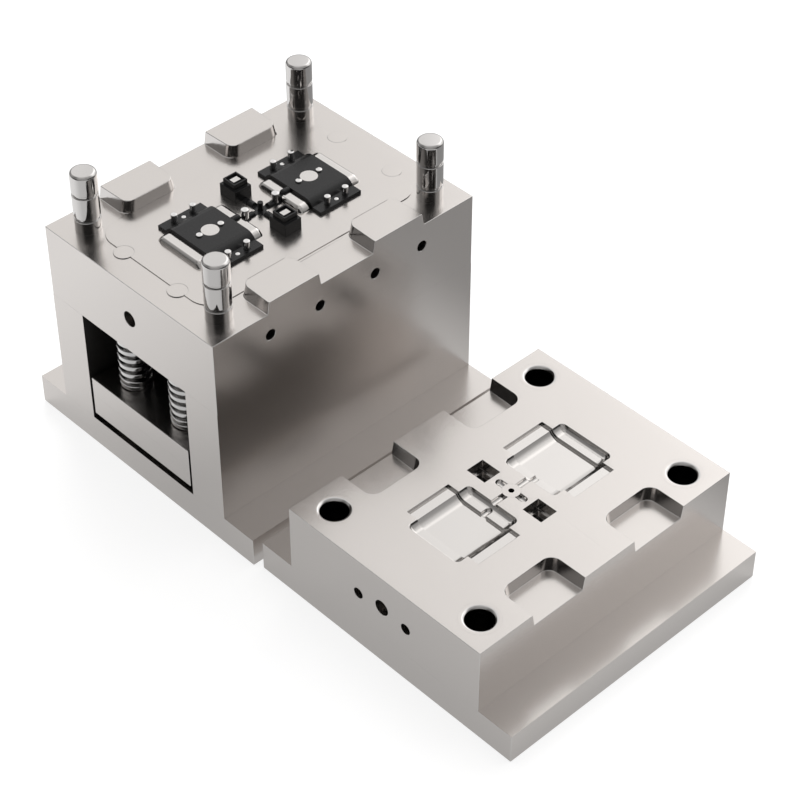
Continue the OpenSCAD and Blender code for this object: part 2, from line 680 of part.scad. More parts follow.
module moulded_runner() color("#2b2a2c") at_core() translate([0, 0, face_z]) difference() {
    union() {
        difference() {
            upper_arms();
            cylinder(r = hub_land + shot_gap, h = 2 * branch_r);
            slab(panel_l, panel_d, -2 * branch_r, 0);
        }
        difference() {
            lower_arms(0);
            slab(panel_l, panel_d, 0, 2 * branch_r);
        }
        gate_backs(0);
        gate_fill();
        bar([0, 0], sprue_r, -slug_depth, sprue_stub);
    }
    for (s = runner_pin_spots) bar(s, runner_pin_r + shot_gap, -2 * branch_r, 2 * branch_r);
}

module top_clamp_plate() color("gainsboro") at_cavity() difference() {
    slab(clamp_w, plate_d, 0, clamp_t);
    bar([0, 0], ring_r, -over, ring_depth);
    bar([0, 0], flange_r + seat_gap, ring_depth - over, ring_depth + flange_t);
    bar([0, 0], bush_r + seat_gap, 0, clamp_t + over);
    for (s = bush_screw_spots) bar(s, bush_screw_r + seat_gap, ring_depth, clamp_t + over);
    for (s = screw_spots) screw_room(s, screw_r, 0, clamp_t + over);
}

module cavity_plate() color("gainsboro") at_cavity() difference() {
    slab(plate_w, plate_d, clamp_t, cavity_top);
    for (s = guide_spots) bush_room([s[0], -s[1]]);
    bush_room([guide_odd_spot[0], -guide_odd_spot[1]]);
    bar([0, 0], bush_r + seat_gap, clamp_t - over, cavity_top + over);
    for (s = bush_screw_spots)
        bar(s, bush_screw_r + seat_gap, clamp_t - over, clamp_t + bush_thread_in + over);
    for (s = screw_spots) bar(s, screw_r + seat_gap, clamp_t - over, clamp_t + thread_in + over);
    for (x = [-cavity_water_x, cavity_water_x]) translate([x, 0, cavity_water_z]) rotate([90, 0, 0])
        cylinder(r = water_r, h = plate_d + 2 * over, center = true);
    translate([0, -plate_d / 2 - over, clamp_t + cavity_plate_t / 2]) rotate([-90, 0, 0])
        cylinder(r = eye_r, h = eye_depth + over);
    turned_over() {
        translate([0, 0, -insert_proud]) each_lock() lock(lock_gap, lock_h + lock_clear);
        for (p = [-panel_y, panel_y]) translate([0, p, 0]) {
            arch(panel_t, panel_d);
            rounded_arch(seat_gap);
            slab(panel_l, panel_d, -over, panel_t);
        }
        for (b = [-box_x, box_x]) translate([b, 0, 0]) {
            slab(box_l, box_d, -over, box_h);
            slab(frame_l, frame_d, 0, box_h + frame_h);
        }
        difference() {
            upper_arms();
            cylinder(r = hub_land, h = 4 * branch_r, center = true);
        }
        gate_backs(0);
    }
}

// room for one guide bush in the cavity plate
module bush_room(spot) {
    bar(spot, guide_r + bush_wall + seat_gap, clamp_t - over, cavity_top + over);
    bar(spot, guide_r + bush_wall + collar_w + seat_gap, clamp_t - over, clamp_t + collar_h);
}

// guide bush with a collar at its foot and a rounded mouth
module guide_bush(spot) translate([spot[0], spot[1], clamp_t]) difference() {
    union() {
        cylinder(r = guide_r + bush_wall, h = cavity_plate_t);
        cylinder(r = guide_r + bush_wall + collar_w, h = collar_h);
    }
    translate([0, 0, -over]) cylinder(r = guide_r + slide_gap, h = cavity_plate_t + 2 * over);
    translate([0, 0, cavity_plate_t - guide_round])
        cylinder(r1 = guide_r + slide_gap, r2 = guide_r + slide_gap + guide_round, h = guide_round + skin);
}

module guide_bushes() color("lightgray") at_cavity() for (s = guide_spots) guide_bush([s[0], -s[1]]);

module offset_guide_bush() color("lightgray") at_cavity()
    guide_bush([guide_odd_spot[0], -guide_odd_spot[1]]);

bush_screw_r = 2;
bush_screw_in = 6;
bush_thread_in = 2;
bush_screw_spots = [[-flange_r + bush_screw_in, 0], [flange_r - bush_screw_in, 0]];
nozzle_r = 15.5;     // ball seat for the machine's nozzle
nozzle_deep = 3;

module sprue_bush() color("silver") at_cavity() difference() {
    union() {
        bar([0, 0], flange_r, ring_depth, ring_depth + flange_t);
        bar([0, 0], bush_r, ring_depth, cavity_top);
    }
    translate([0, 0, ring_depth])
        cylinder(r1 = 0.6 * sprue_r, r2 = sprue_r + shot_gap, h = cavity_top - ring_depth + skin);
    translate([0, 0, ring_depth + nozzle_deep - nozzle_r]) sphere(r = nozzle_r);
    for (s = bush_screw_spots) screw_room(s, bush_screw_r, ring_depth, ring_depth + flange_t + over);
}

module sprue_bush_screws() color("dimgray") at_cavity()
    for (s = bush_screw_spots)
        cap_screw(s, bush_screw_r, ring_depth + head_sink,
                  clamp_t - ring_depth - head_sink - head_h(bush_screw_r) + bush_thread_in);

module cavity_half_screws() color("dimgray") at_cavity()
    for (s = screw_spots)
        cap_screw(s, screw_r, head_sink, clamp_t - head_sink - head_h(screw_r) + thread_in);

bottom_clamp_plate();
spacer_block_left();
spacer_block_right();
core_plate();
core_insert();
core_insert_screws();
core_pins();
guide_pins();
offset_guide_pin();
core_half_screws();
rest_buttons();
ejector_base_plate();
ejector_retainer_plate();
ejector_plate_screws();
return_pins();
return_springs();
ejector_pins();
runner_ejector_pins();
sprue_puller_pin();
moulded_panel_front();
moulded_panel_rear();
moulded_box_left();
moulded_box_right();
moulded_runner();
top_clamp_plate();
cavity_plate();
guide_bushes();
offset_guide_bush();
sprue_bush();
sprue_bush_screws();
cavity_half_screws();
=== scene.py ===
import json
import math
import bmesh
import bpy
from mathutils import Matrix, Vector

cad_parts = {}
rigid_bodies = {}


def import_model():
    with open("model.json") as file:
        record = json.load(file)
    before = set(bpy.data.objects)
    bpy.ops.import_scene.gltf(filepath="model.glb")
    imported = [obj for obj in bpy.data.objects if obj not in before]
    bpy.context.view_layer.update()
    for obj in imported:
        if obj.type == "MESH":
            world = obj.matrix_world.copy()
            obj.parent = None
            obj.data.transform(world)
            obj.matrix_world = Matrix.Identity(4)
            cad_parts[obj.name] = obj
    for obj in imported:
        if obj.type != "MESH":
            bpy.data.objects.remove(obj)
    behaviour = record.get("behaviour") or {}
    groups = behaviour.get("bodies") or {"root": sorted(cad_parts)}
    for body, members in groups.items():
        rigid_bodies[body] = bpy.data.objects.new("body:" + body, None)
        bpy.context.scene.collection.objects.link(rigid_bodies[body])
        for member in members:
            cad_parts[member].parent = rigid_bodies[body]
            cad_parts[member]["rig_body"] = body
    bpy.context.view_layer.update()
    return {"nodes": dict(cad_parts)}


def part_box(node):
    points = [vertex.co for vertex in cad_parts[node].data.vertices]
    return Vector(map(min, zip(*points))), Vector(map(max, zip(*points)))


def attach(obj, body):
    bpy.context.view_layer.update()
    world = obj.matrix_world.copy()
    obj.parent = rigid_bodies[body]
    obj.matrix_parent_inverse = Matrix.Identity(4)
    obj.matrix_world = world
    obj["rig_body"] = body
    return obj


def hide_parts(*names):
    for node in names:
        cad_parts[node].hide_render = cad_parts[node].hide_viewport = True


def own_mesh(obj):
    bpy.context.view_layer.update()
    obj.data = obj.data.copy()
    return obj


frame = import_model()

# ---------------------------------------------------------------- camera
# A long lens from the front right and above, at the photograph's angle: both parting faces,
# the front of the moving half and the right sides of both halves show.
camera = bpy.data.objects.new("camera", bpy.data.cameras.new("camera"))
bpy.context.scene.collection.objects.link(camera)
azimuth, elevation = math.radians(46.40), math.radians(41.449)
looked_at, distance = Vector((-0.00806, 0.02076, 0.050)), 1.3835
lens, film_width, nearest, farthest = 104.76, 36.0, 0.05, 20.0
towards_camera = Vector((math.sin(azimuth) * math.cos(elevation),
                         -math.cos(azimuth) * math.cos(elevation), math.sin(elevation)))
camera.location = looked_at + distance * towards_camera
camera.rotation_mode = "QUATERNION"
camera.rotation_quaternion = (-towards_camera).to_track_quat("-Z", "Y")
camera.data.lens, camera.data.sensor_width = lens, film_width
camera.data.clip_start, camera.data.clip_end = nearest, farthest
bpy.context.scene.camera = camera
bpy.context.scene.view_settings.view_transform = "Standard"

# ---------------------------------------------------------------- table top
# A wide sheet of white paper under the two halves. The lens sees it white, with the plates' soft
# shadow on it. What the steel mirrors of it has painted shade: its glow is painted dimmer to the
# right and behind, standing in for light that falls stronger from the front left.
def empty_material(name):
    material = bpy.data.materials.new(name)
    material.use_nodes = True
    material.node_tree.nodes.clear()
    return material, material.node_tree.nodes, material.node_tree.links


def feed(links, socket, source):
    """Gives a socket a plain value, or joins another node's output to it."""
    if isinstance(source, bpy.types.NodeSocket):
        links.new(source, socket)
    else:
        socket.default_value = source


def reckon(nodes, links, operation, *parts):
    """One step of arithmetic on the parts, in their order."""
    node = nodes.new("ShaderNodeMath")
    node.operation = operation
    for socket, part in zip(node.inputs, parts):
        feed(links, socket, part)
    return node.outputs[0]


def ramp(nodes, links, source, start, stop, low=0.0, high=1.0, kind="LINEAR"):
    """Goes from low to high while the source goes from start to stop."""
    node = nodes.new("ShaderNodeMapRange")
    node.interpolation_type = kind
    for name, part in (("Value", source), ("From Min", start), ("From Max", stop),
                       ("To Min", low), ("To Max", high)):
        feed(links, node.inputs[name], part)
    return node.outputs["Result"]


def by_ray(nodes, links, kind, these, others):
    """One shader for the rays of a kind, which the Light Path node names, and one for others."""
    path, mix = nodes.new("ShaderNodeLightPath"), nodes.new("ShaderNodeMixShader")
    links.new(path.outputs[kind], mix.inputs[0])
    links.new(others, mix.inputs[1])
    links.new(these, mix.inputs[2])
    return mix.outputs[0]


def lit_paper(nodes, links, albedo, glow, painted_fades=()):
    """Paper that takes the light and the shadow, and glows by itself. Each fade paints shade on the
    glow: it names an axis, where along it the glow starts to fade and ends, and the share that is
    left there."""
    matt = nodes.new("ShaderNodeBsdfDiffuse")
    matt.inputs["Color"].default_value = (albedo, albedo, albedo, 1)
    spot, parts = nodes.new("ShaderNodeTexCoord"), nodes.new("ShaderNodeSeparateXYZ")
    links.new(spot.outputs["Object"], parts.inputs[0])
    for axis, start, stop, left in painted_fades:
        share = ramp(nodes, links, parts.outputs[axis], start, stop, 1.0, left)
        glow = reckon(nodes, links, "MULTIPLY", glow, share)
    lift = nodes.new("ShaderNodeEmission")
    feed(links, lift.inputs["Strength"], glow)
    both = nodes.new("ShaderNodeAddShader")
    links.new(matt.outputs[0], both.inputs[0])
    links.new(lift.outputs[0], both.inputs[1])
    return both.outputs[0]


table_half, table_sunk = 3.0, 0.0004
table = bpy.data.objects.new("table", bpy.data.meshes.new("table"))
table.data.from_pydata([(-table_half, -table_half, 0), (table_half, -table_half, 0),
                        (table_half, table_half, 0), (-table_half, table_half, 0)],
                       [], [(0, 1, 2, 3)])
table.location.z = -table_sunk
bpy.context.scene.collection.objects.link(table)
paper_white = (0.80, 0.79, 0.78, 1)
mirror_albedo, mirror_glow = 0.25, 0.67
# Painted shade: the glow the steel mirrors is painted dimmer to the right and behind.
mirror_painted_fades = (("X", -0.30, -0.08, 0.61), ("Y", 0.10, 0.17, 0.15))
lens_albedo, lens_glow = 0.35, 0.79
paper, nodes, links = empty_material("white_paper")
out = nodes.new("ShaderNodeOutputMaterial")
plain = nodes.new("ShaderNodeBsdfDiffuse")
plain.inputs["Color"].default_value = paper_white
mirrored = lit_paper(nodes, links, mirror_albedo, mirror_glow, mirror_painted_fades)
photographed = lit_paper(nodes, links, lens_albedo, lens_glow)
sheet = by_ray(nodes, links, "Is Glossy Ray", mirrored, plain.outputs[0])
links.new(by_ray(nodes, links, "Is Camera Ray", photographed, sheet), out.inputs[0])
table.data.materials.append(paper)

# ---------------------------------------------------------------- tent of light
# Dark cloth with soft bright panels. The large ones, far left and behind, are what the parting
# faces mirror. The lens sees it white, and light that goes from wall to wall inside dies out.
world = bpy.data.worlds.new("tent")
bpy.context.scene.world = world
world.use_nodes = True
nodes, links = world.node_tree.nodes, world.node_tree.links
nodes.clear()
out = nodes.new("ShaderNodeOutputWorld")
depth = nodes.new("ShaderNodeLightPath").outputs["Ray Depth"]
aim = nodes.new("ShaderNodeTexCoord")
tent, white = nodes.new("ShaderNodeBackground"), nodes.new("ShaderNodeBackground")
white.inputs["Color"].default_value = (1, 1, 1, 1)
tent_dim = (0.01, 0.0098, 0.0096)
panel_tint = Vector((1.0, 0.99, 0.98))
tent_panels = (
    # towards, brightness, full inside this cosine, gone outside that one
    ((-0.54, 0.52, 0.66), 0.75, 0.96, 0.70),
    ((0.00, 0.90, 0.43), 0.93, 0.96, 0.70),
    ((0.54, 0.52, 0.66), 0.34, 0.97, 0.78),
    ((-0.93, 0.00, 0.37), 0.17, 0.95, 0.65),
    ((-0.54, -0.52, 0.66), 0.20, 0.95, 0.66),
    ((0.00, 0.00, 1.00), 0.40, 0.98, 0.84),
)
front_panel = ((0.60, -0.58, 0.55), 0.34, 0.96, 0.55)


def add_panel(cloth, direction, brightness, near, far, share=None):
    """The cloth's light with one more panel on it, of which only the share shows."""
    dot = nodes.new("ShaderNodeVectorMath")
    dot.operation = "DOT_PRODUCT"
    dot.inputs[1].default_value = Vector(direction).normalized()
    links.new(aim.outputs["Generated"], dot.inputs[0])
    shown = ramp(nodes, links, dot.outputs["Value"], far, near, kind="SMOOTHSTEP")
    if share is not None:
        shown = reckon(nodes, links, "MULTIPLY", shown, share)
    glow = nodes.new("ShaderNodeVectorMath")
    glow.operation = "MULTIPLY_ADD"
    links.new(shown, glow.inputs[0])
    glow.inputs[1].default_value = brightness * panel_tint
    links.new(cloth, glow.inputs[2])
    return glow.outputs[0]


cloth = nodes.new("ShaderNodeCombineXYZ")
for socket, value in zip(cloth.inputs, tent_dim):
    socket.default_value = value
cloth = cloth.outputs[0]
for panel in tent_panels:
    cloth = add_panel(cloth, *panel)
# Ray Depth is 2 at the first bounce. Only that one sees the front panel, for the views from
# behind, so the panel adds nothing to the light between the parts.
first_bounce, second_bounce = 2.0, 3.0
dims_from, dark_by = 3.0, 5.5
first_only = ramp(nodes, links, depth, first_bounce, second_bounce, 1.0, 0.0)
links.new(add_panel(cloth, *front_panel, share=first_only), tent.inputs["Color"])
links.new(ramp(nodes, links, depth, dims_from, dark_by, 1.0, 0.0), tent.inputs["Strength"])
links.new(by_ray(nodes, links, "Is Camera Ray", white.outputs[0], tent.outputs[0]), out.inputs[0])


def soft_box(name, place, side, watts):
    """A square lamp aimed at the middle of the table. The steel doesn't mirror it."""
    lamp = bpy.data.lights.new(name, "AREA")
    lamp.shape, lamp.size = "SQUARE", side
    lamp.energy = watts
    holder = bpy.data.objects.new(name, lamp)
    holder.location = place
    holder.rotation_mode = "QUATERNION"
    holder.rotation_quaternion = (Vector((0, 0, 0)) - Vector(place)).to_track_quat("-Z", "Y")
    holder.visible_glossy = False
    bpy.context.scene.collection.objects.link(holder)


soft_box("key_box", (-1.2, 1.2, 1.5), side=1.6, watts=26)
soft_box("overhead_box", (0.0, 0.0, 1.9), side=1.6, watts=9)

# ---------------------------------------------------------------- moving clamp plate
# The lowest plate of the moving half, 200 x 200 x 20 mm of mild tool steel, milled and then
# ground all round. Its edges are broken with a file. The press's clamps hold its long edges.
def grain_group():
    """Ground grain, broad clouding, fine scratches and the smears that handling leaves."""
    group = bpy.data.node_groups.new("ground_grain", "ShaderNodeTree")
    face = group.interface
    for name, kind, value in (("Colour", "NodeSocketColor", (0.6, 0.6, 0.6, 1)),
                              ("Clouding", "NodeSocketFloat", 0.04),
                              ("Grain size", "NodeSocketFloat", 1800.0),
                              ("Grain stretch", "NodeSocketVector", (1, 1, 1)),
                              ("Grain contrast", "NodeSocketFloat", 0.06),
                              ("Scratches", "NodeSocketFloat", 0.3),
                              ("Roughness", "NodeSocketFloat", 0.3),
                              ("Roughness spread", "NodeSocketFloat", 0.06)):
        face.new_socket(name, in_out="INPUT", socket_type=kind).default_value = value
    for name, kind in (("Colour", "NodeSocketColor"), ("Roughness", "NodeSocketFloat"),
                       ("Height", "NodeSocketFloat")):
        face.new_socket(name, in_out="OUTPUT", socket_type=kind)
    nodes, links = group.nodes, group.links
    given, result = nodes.new("NodeGroupInput"), nodes.new("NodeGroupOutput")
    place = nodes.new("ShaderNodeTexCoord")

    def noise(scale, detail, stretch=None):
        """Noise over the piece, drawn out along its axes where stretch is given."""
        spot = place.outputs["Object"]
        if stretch is not None:
            times = nodes.new("ShaderNodeVectorMath")
            times.operation = "MULTIPLY"
            links.new(spot, times.inputs[0])
            feed(links, times.inputs[1], stretch)
            spot = times.outputs[0]
        texture = nodes.new("ShaderNodeTexNoise")
        links.new(spot, texture.inputs["Vector"])
        feed(links, texture.inputs["Scale"], scale)
        texture.inputs["Detail"].default_value = detail
        return texture.outputs["Fac"]

    def sum_up(base, source, amount, middle=0.5):
        """base + amount * (source - middle)"""
        away = reckon(nodes, links, "SUBTRACT", source, middle)
        return reckon(nodes, links, "MULTIPLY_ADD", away, amount, base)

    grain_detail, cloud_scale, cloud_detail = 2.0, 16.0, 4.0
    scratch_scale, scratch_detail, scratch_stretch = 260.0, 1.0, (0.06, 1.0, 1.0)
    scratch_from, scratch_full = 0.66, 0.74
    grain = noise(given.outputs["Grain size"], grain_detail, given.outputs["Grain stretch"])
    cloud = noise(cloud_scale, cloud_detail)
    line = ramp(nodes, links, noise(scratch_scale, scratch_detail, scratch_stretch),
                scratch_from, scratch_full)
    scratch = reckon(nodes, links, "MULTIPLY", line, given.outputs["Scratches"])

    tone = sum_up(sum_up(1.0, cloud, given.outputs["Clouding"]),
                  grain, given.outputs["Grain contrast"])
    shade = nodes.new("ShaderNodeVectorMath")
    shade.operation = "SCALE"
    links.new(given.outputs["Colour"], shade.inputs[0])
    links.new(tone, shade.inputs["Scale"])
    links.new(shade.outputs[0], result.inputs["Colour"])
    spread = given.outputs["Roughness spread"]
    rough = sum_up(sum_up(given.outputs["Roughness"], cloud, spread), grain, spread)
    links.new(sum_up(rough, scratch, spread, 0.0), result.inputs["Roughness"])
    links.new(reckon(nodes, links, "SUBTRACT", grain, scratch), result.inputs["Height"])
    return group


ground_grain = grain_group()


def finish(name, colour, roughness, metallic=1.0, depth=0.00002, specular=0.5, **values):
    """A finish: its own values in the shared grain, on its own surface."""
    material, nodes, links = empty_material(name)
    out = nodes.new("ShaderNodeOutputMaterial")
    surface = nodes.new("ShaderNodeBsdfPrincipled")
    surface.inputs["Metallic"].default_value = metallic
    surface.inputs["Specular IOR Level"].default_value = specular
    group = nodes.new("ShaderNodeGroup")
    group.node_tree = ground_grain
    group.inputs["Colour"].default_value = (*colour, 1)
    group.inputs["Roughness"].default_value = roughness
    for key, value in values.items():
        group.inputs[key.replace("_", " ").capitalize()].default_value = value
    bump = nodes.new("ShaderNodeBump")
    bump.inputs["Distance"].default_value = depth
    links.new(group.outputs["Colour"], surface.inputs["Base Color"])
    links.new(group.outputs["Roughness"], surface.inputs["Roughness"])
    links.new(group.outputs["Height"], bump.inputs["Height"])
    links.new(bump.outputs[0], surface.inputs["Normal"])
    links.new(surface.outputs[0], out.inputs[0])
    return material


crease = math.radians(40)
merge_within, flat_within, sharp_from = 0.00002, math.radians(0.4), math.radians(28)
hairline = 0.12
touch, face_slack, upward, straight_up = 0.00001, 0.0001, 0.9, 0.99


def made_plain(piece):
    """Applies the piece's modifiers, so that it is a plain mesh."""
    found = piece.evaluated_get(bpy.context.evaluated_depsgraph_get())
    mesh = bpy.data.meshes.new_from_object(found, preserve_all_data_layers=True,
                                           depsgraph=bpy.context.evaluated_depsgraph_get())
    piece.modifiers.clear()
    piece.data = mesh
    mesh.name = piece.name


def fitted(piece, node):
    """Keeps flat faces flat in the light, and puts the piece in its node's place."""
    piece.data.set_sharp_from_angle(angle=crease)
    weigh = piece.modifiers.new("flat faces stay flat", "WEIGHTED_NORMAL")
    weigh.keep_sharp = True
    made_plain(piece)
    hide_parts(node)
    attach(piece, frame["nodes"][node]["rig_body"])
    return piece


def eased(node, width, finishes, tight=None, segments=2):
    """The CAD piece with its sharp edges broken by a small rounded bevel. The first finish is the
    piece's own and the second its broken edges'. Where tight says that an edge closes against
    another piece, only a hairline shows."""
    mesh = frame["nodes"][node].data.copy()
    work = bmesh.new()
    work.from_mesh(mesh)
    bmesh.ops.remove_doubles(work, verts=work.verts, dist=merge_within)
    bmesh.ops.dissolve_limit(work, angle_limit=flat_within, verts=work.verts, edges=work.edges)
    bmesh.ops.connect_verts_concave(work, faces=work.faces)
    for side in work.faces:
        side.smooth = True
        side.material_index = 0
    ease = work.edges.layers.float.new("bevel_weight_edge")
    for edge in work.edges:
        if len(edge.link_faces) == 2 and edge.calc_face_angle(0) > sharp_from:
            edge[ease] = hairline if tight and all(tight(v.co) for v in edge.verts) else 1.0
    work.to_mesh(mesh)
    work.free()
    mesh.materials.clear()
    for look in finishes:
        mesh.materials.append(look)
    piece = bpy.data.objects.new(node + "_eased", mesh)
    bpy.context.scene.collection.objects.link(piece)
    bevel = piece.modifiers.new("broken edges", "BEVEL")
    bevel.width, bevel.segments = width, segments
    bevel.limit_method = "WEIGHT"
    bevel.use_clamp_overlap, bevel.loop_slide = False, False
    if len(finishes) > 1:
        bevel.material = 1
    made_plain(piece)
    return fitted(piece, node)


def other_finish(piece, look, where):
    """Gives the faces that where(middle, normal) names another finish."""
    piece.data.materials.append(look)
    number = len(piece.data.materials) - 1
    for side in piece.data.polygons:
        if where(side.center, side.normal):
            side.material_index = number


ground_steel = finish("ground_plate_steel", (0.76, 0.725, 0.70), 0.23, grain_size=1500.0)
# Filed bare steel on the broken edges. It is lighter than the plates partly as a painted highlight
# along every edge.
filed_edge_and_highlight = finish("filed_steel_edge_and_painted_highlight", (0.80, 0.78, 0.76), 0.22, grain_size=900.0)
plate_edge = 0.0004
spacer_foot, spacer_head = 0.02, 0.10


def plate_joint(spot):
    """The heights where the clamp plate, the spacer blocks and the core plate meet."""
    return min(abs(spot.z - spacer_foot), abs(spot.z - spacer_head)) < touch


eased("bottom_clamp_plate", plate_edge, [ground_steel, filed_edge_and_highlight], plate_joint)

# ---------------------------------------------------------------- spacer blocks
# Two ground bars, 28 x 200 x 80 mm, that leave room between them for the ejector plates to
# travel. Four long screws clamp them between the clamp plate and the core plate.
# Near-black oiled mill scale on the faces inside the ejector space. It is darkened partly as
# painted shade, where the room between the plates lies in shadow.
oiled_scale_and_shade = finish("oiled_mill_scale_and_painted_shade", (0.045, 0.042, 0.04), 0.42, metallic=0.6,
                     grain_contrast=0.2)
spacer_gap = 0.047
guide_across, guide_along = 0.114, 0.164
core_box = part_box("core_plate")
core_x, core_y = [(low + high) / 2 for low, high in zip(*core_box)][:2]
for node in ("spacer_block_left", "spacer_block_right"):
    block = eased(node, plate_edge, [ground_steel, filed_edge_and_highlight], plate_joint)
    # The spacer blocks' inner faces: oiled scale and painted shade over the ejector space.
    other_finish(block, oiled_scale_and_shade,
                 lambda middle, normal: abs(middle.x - core_x) < spacer_gap + face_slack)

# ---------------------------------------------------------------- core plate
# The thick plate that holds the core insert and the guide pins. Four tapered locks are milled
# out of its face, and water runs through drilled channels from side to side.
insert_across, insert_along, pin_fit_r, core_top = 0.052, 0.0895, 0.0105, 0.15


def core_fit(spot):
    """Where the core plate closes round the insert and the guide pins."""
    across, along = abs(spot.x - core_x), abs(spot.y - core_y)
    pin = math.hypot(across - guide_across / 2, along - guide_along / 2) < pin_fit_r
    return plate_joint(spot) or pin or (across < insert_across and along < insert_along)


plate = eased("core_plate", plate_edge, [ground_steel, filed_edge_and_highlight], core_fit)
# The core plate's underside over the ejector space gets the same dark finish, which is partly
# painted shade.
other_finish(plate, oiled_scale_and_shade, lambda middle, normal: middle.z < spacer_head + face_slack)
lock_steel = finish("fine_milled_lock_steel", (0.74, 0.715, 0.70), 0.13, grain_contrast=0.03,
                    scratches=0.1)
other_finish(plate, lock_steel,
             lambda middle, normal: middle.z > core_top + face_slack and normal.z < upward)

# ---------------------------------------------------------------- core insert
# A block of harder steel set into the core plate half a millimetre proud. The two arched cores,
# the towers of the boxes and the runner's lower half are milled and polished on it.
polished_core = finish("polished_core_steel", (0.80, 0.775, 0.755), 0.10, roughness_spread=0.03,
                       grain_contrast=0.03, scratches=0.0)
insert_face, insert_edge, puller_fit_r = 0.1505, 0.00015, 0.0035
insert = eased("core_insert", insert_edge, [ground_steel, filed_edge_and_highlight],
               lambda spot: (spot.xy - Vector((core_x, core_y))).length < puller_fit_r)
other_finish(insert, polished_core, lambda middle, normal: middle.z > insert_face + face_slack)

# ---------------------------------------------------------------- guide pins
# Four hardened and ground pins, pressed into the core plate from below with a collar at the foot.
# The tip is rounded, and two oil grooves run round each. One stands 2 mm off the even spacing.
pin_steel = finish("ground_pin_steel", (0.72, 0.705, 0.695), 0.08, roughness_spread=0.03,
                   grain_contrast=0.02, grain_stretch=(1, 1, 0.05), scratches=0.1)


def rounded(*section, steps=3):
    """A section's corners as (radius, height, rounding). Each rounded corner becomes an arc."""
    points = []
    for k, (radius, height, ease) in enumerate(section):
        here = Vector((radius, height))
        if not ease:
            points.append(tuple(here))
            continue
        before = (Vector(section[k - 1][:2]) - here).normalized()
        after = (Vector(section[(k + 1) % len(section)][:2]) - here).normalized()
        half = before.angle(after) / 2
        middle = here + (before + after).normalized() * ease / math.sin(half)
        first = here + before * ease / math.tan(half) - middle
        last = here + after * ease / math.tan(half) - middle
        start = math.atan2(first.y, first.x)
        sweep = (math.atan2(last.y, last.x) - start + math.pi) % (2 * math.pi) - math.pi
        for step in range(steps + 1):
            turn = start + sweep * step / steps
            points.append((middle.x + ease * math.cos(turn), middle.y + ease * math.sin(turn)))
    return points


def turned(name, section, sides, flats=()):
    """Spins a section round the Z axis: solid where it starts and ends on the axis, else a ring.
    flats gives two heights and a radius: between and within them the section is a hexagon."""
    work = bmesh.new()
    rings = []
    for radius, height in section:
        if radius < touch:
            rings.append([work.verts.new((0, 0, height))])
            continue
        ring = []
        for side in range(sides):
            turn = 2 * math.pi * side / sides
            reach = radius
            if flats and flats[0] <= height <= flats[1] and radius < flats[2]:
                sixth = math.pi / 3
                reach = radius * math.cos(sixth / 2) / math.cos(turn % sixth - sixth / 2)
            ring.append(work.verts.new((reach * math.cos(turn), reach * math.sin(turn), height)))
        rings.append(ring)
    pairs = list(zip(rings, rings[1:]))
    if len(rings[0]) > 1:
        pairs.append((rings[-1], rings[0]))
    for low, high in pairs:
        for side in range(sides):
            after = (side + 1) % sides
            corners = [low[side % len(low)], low[after % len(low)],
                       high[after % len(high)], high[side % len(high)]]
            work.faces.new(list(dict.fromkeys(corners)))
    bmesh.ops.recalc_face_normals(work, faces=work.faces)
    mesh = bpy.data.meshes.new(name)
    for side in work.faces:
        side.smooth = True
    work.to_mesh(mesh)
    work.free()
    piece = bpy.data.objects.new(name, mesh)
    bpy.context.scene.collection.objects.link(piece)
    return piece


def set_out_tree():
    """Geometry Nodes: repeats a piece at the spots of a grid about a centre, less one spot."""
    tree = bpy.data.node_groups.new("set_out", "GeometryNodeTree")
    face, nodes, links = tree.interface, tree.nodes, tree.links
    for name, kind in (("Piece", "Geometry"), ("Across", "Float"), ("Along", "Float"),
                       ("Columns", "Int"), ("Rows", "Int"), ("Centre", "Vector"),
                       ("Left out", "Int"), ("Finish", "Material")):
        face.new_socket(name, in_out="INPUT", socket_type="NodeSocket" + kind)
    face.new_socket("Set out", in_out="OUTPUT", socket_type="NodeSocketGeometry")
    given, result = nodes.new("NodeGroupInput"), nodes.new("NodeGroupOutput")
    grid = nodes.new("GeometryNodeMeshGrid")
    for name, socket in (("Across", "Size X"), ("Along", "Size Y"), ("Columns", "Vertices X"),
                         ("Rows", "Vertices Y")):
        links.new(given.outputs[name], grid.inputs[socket])
    number = nodes.new("GeometryNodeInputIndex")
    same = nodes.new("FunctionNodeCompare")
    same.data_type, same.operation = "INT", "EQUAL"
    links.new(number.outputs[0], same.inputs[2])
    links.new(given.outputs["Left out"], same.inputs[3])
    drop = nodes.new("GeometryNodeDeleteGeometry")
    links.new(grid.outputs["Mesh"], drop.inputs["Geometry"])
    links.new(same.outputs[0], drop.inputs["Selection"])
    move = nodes.new("GeometryNodeTransform")
    links.new(drop.outputs[0], move.inputs["Geometry"])
    links.new(given.outputs["Centre"], move.inputs["Translation"])
    copies = nodes.new("GeometryNodeInstanceOnPoints")
    links.new(move.outputs[0], copies.inputs["Points"])
    links.new(given.outputs["Piece"], copies.inputs["Instance"])
    real = nodes.new("GeometryNodeRealizeInstances")
    links.new(copies.outputs[0], real.inputs[0])
    coat = nodes.new("GeometryNodeSetMaterial")
    links.new(real.outputs[0], coat.inputs["Geometry"])
    links.new(given.outputs["Finish"], coat.inputs["Material"])
    links.new(coat.outputs[0], result.inputs[0])
    return tree


set_out_nodes = set_out_tree()


def run_tree(piece, tree, values):
    """Runs a Geometry Nodes tree on the piece with its inputs set by name, and keeps the mesh."""
    sockets = {item.name: item.identifier for item in tree.interface.items_tree
               if item.in_out == "INPUT"}
    step = piece.modifiers.new(tree.name, "NODES")
    step.node_group = tree
    for name, value in values.items():
        step[sockets[name]] = value
    made_plain(piece)
    for side in piece.data.polygons:
        side.use_smooth = True


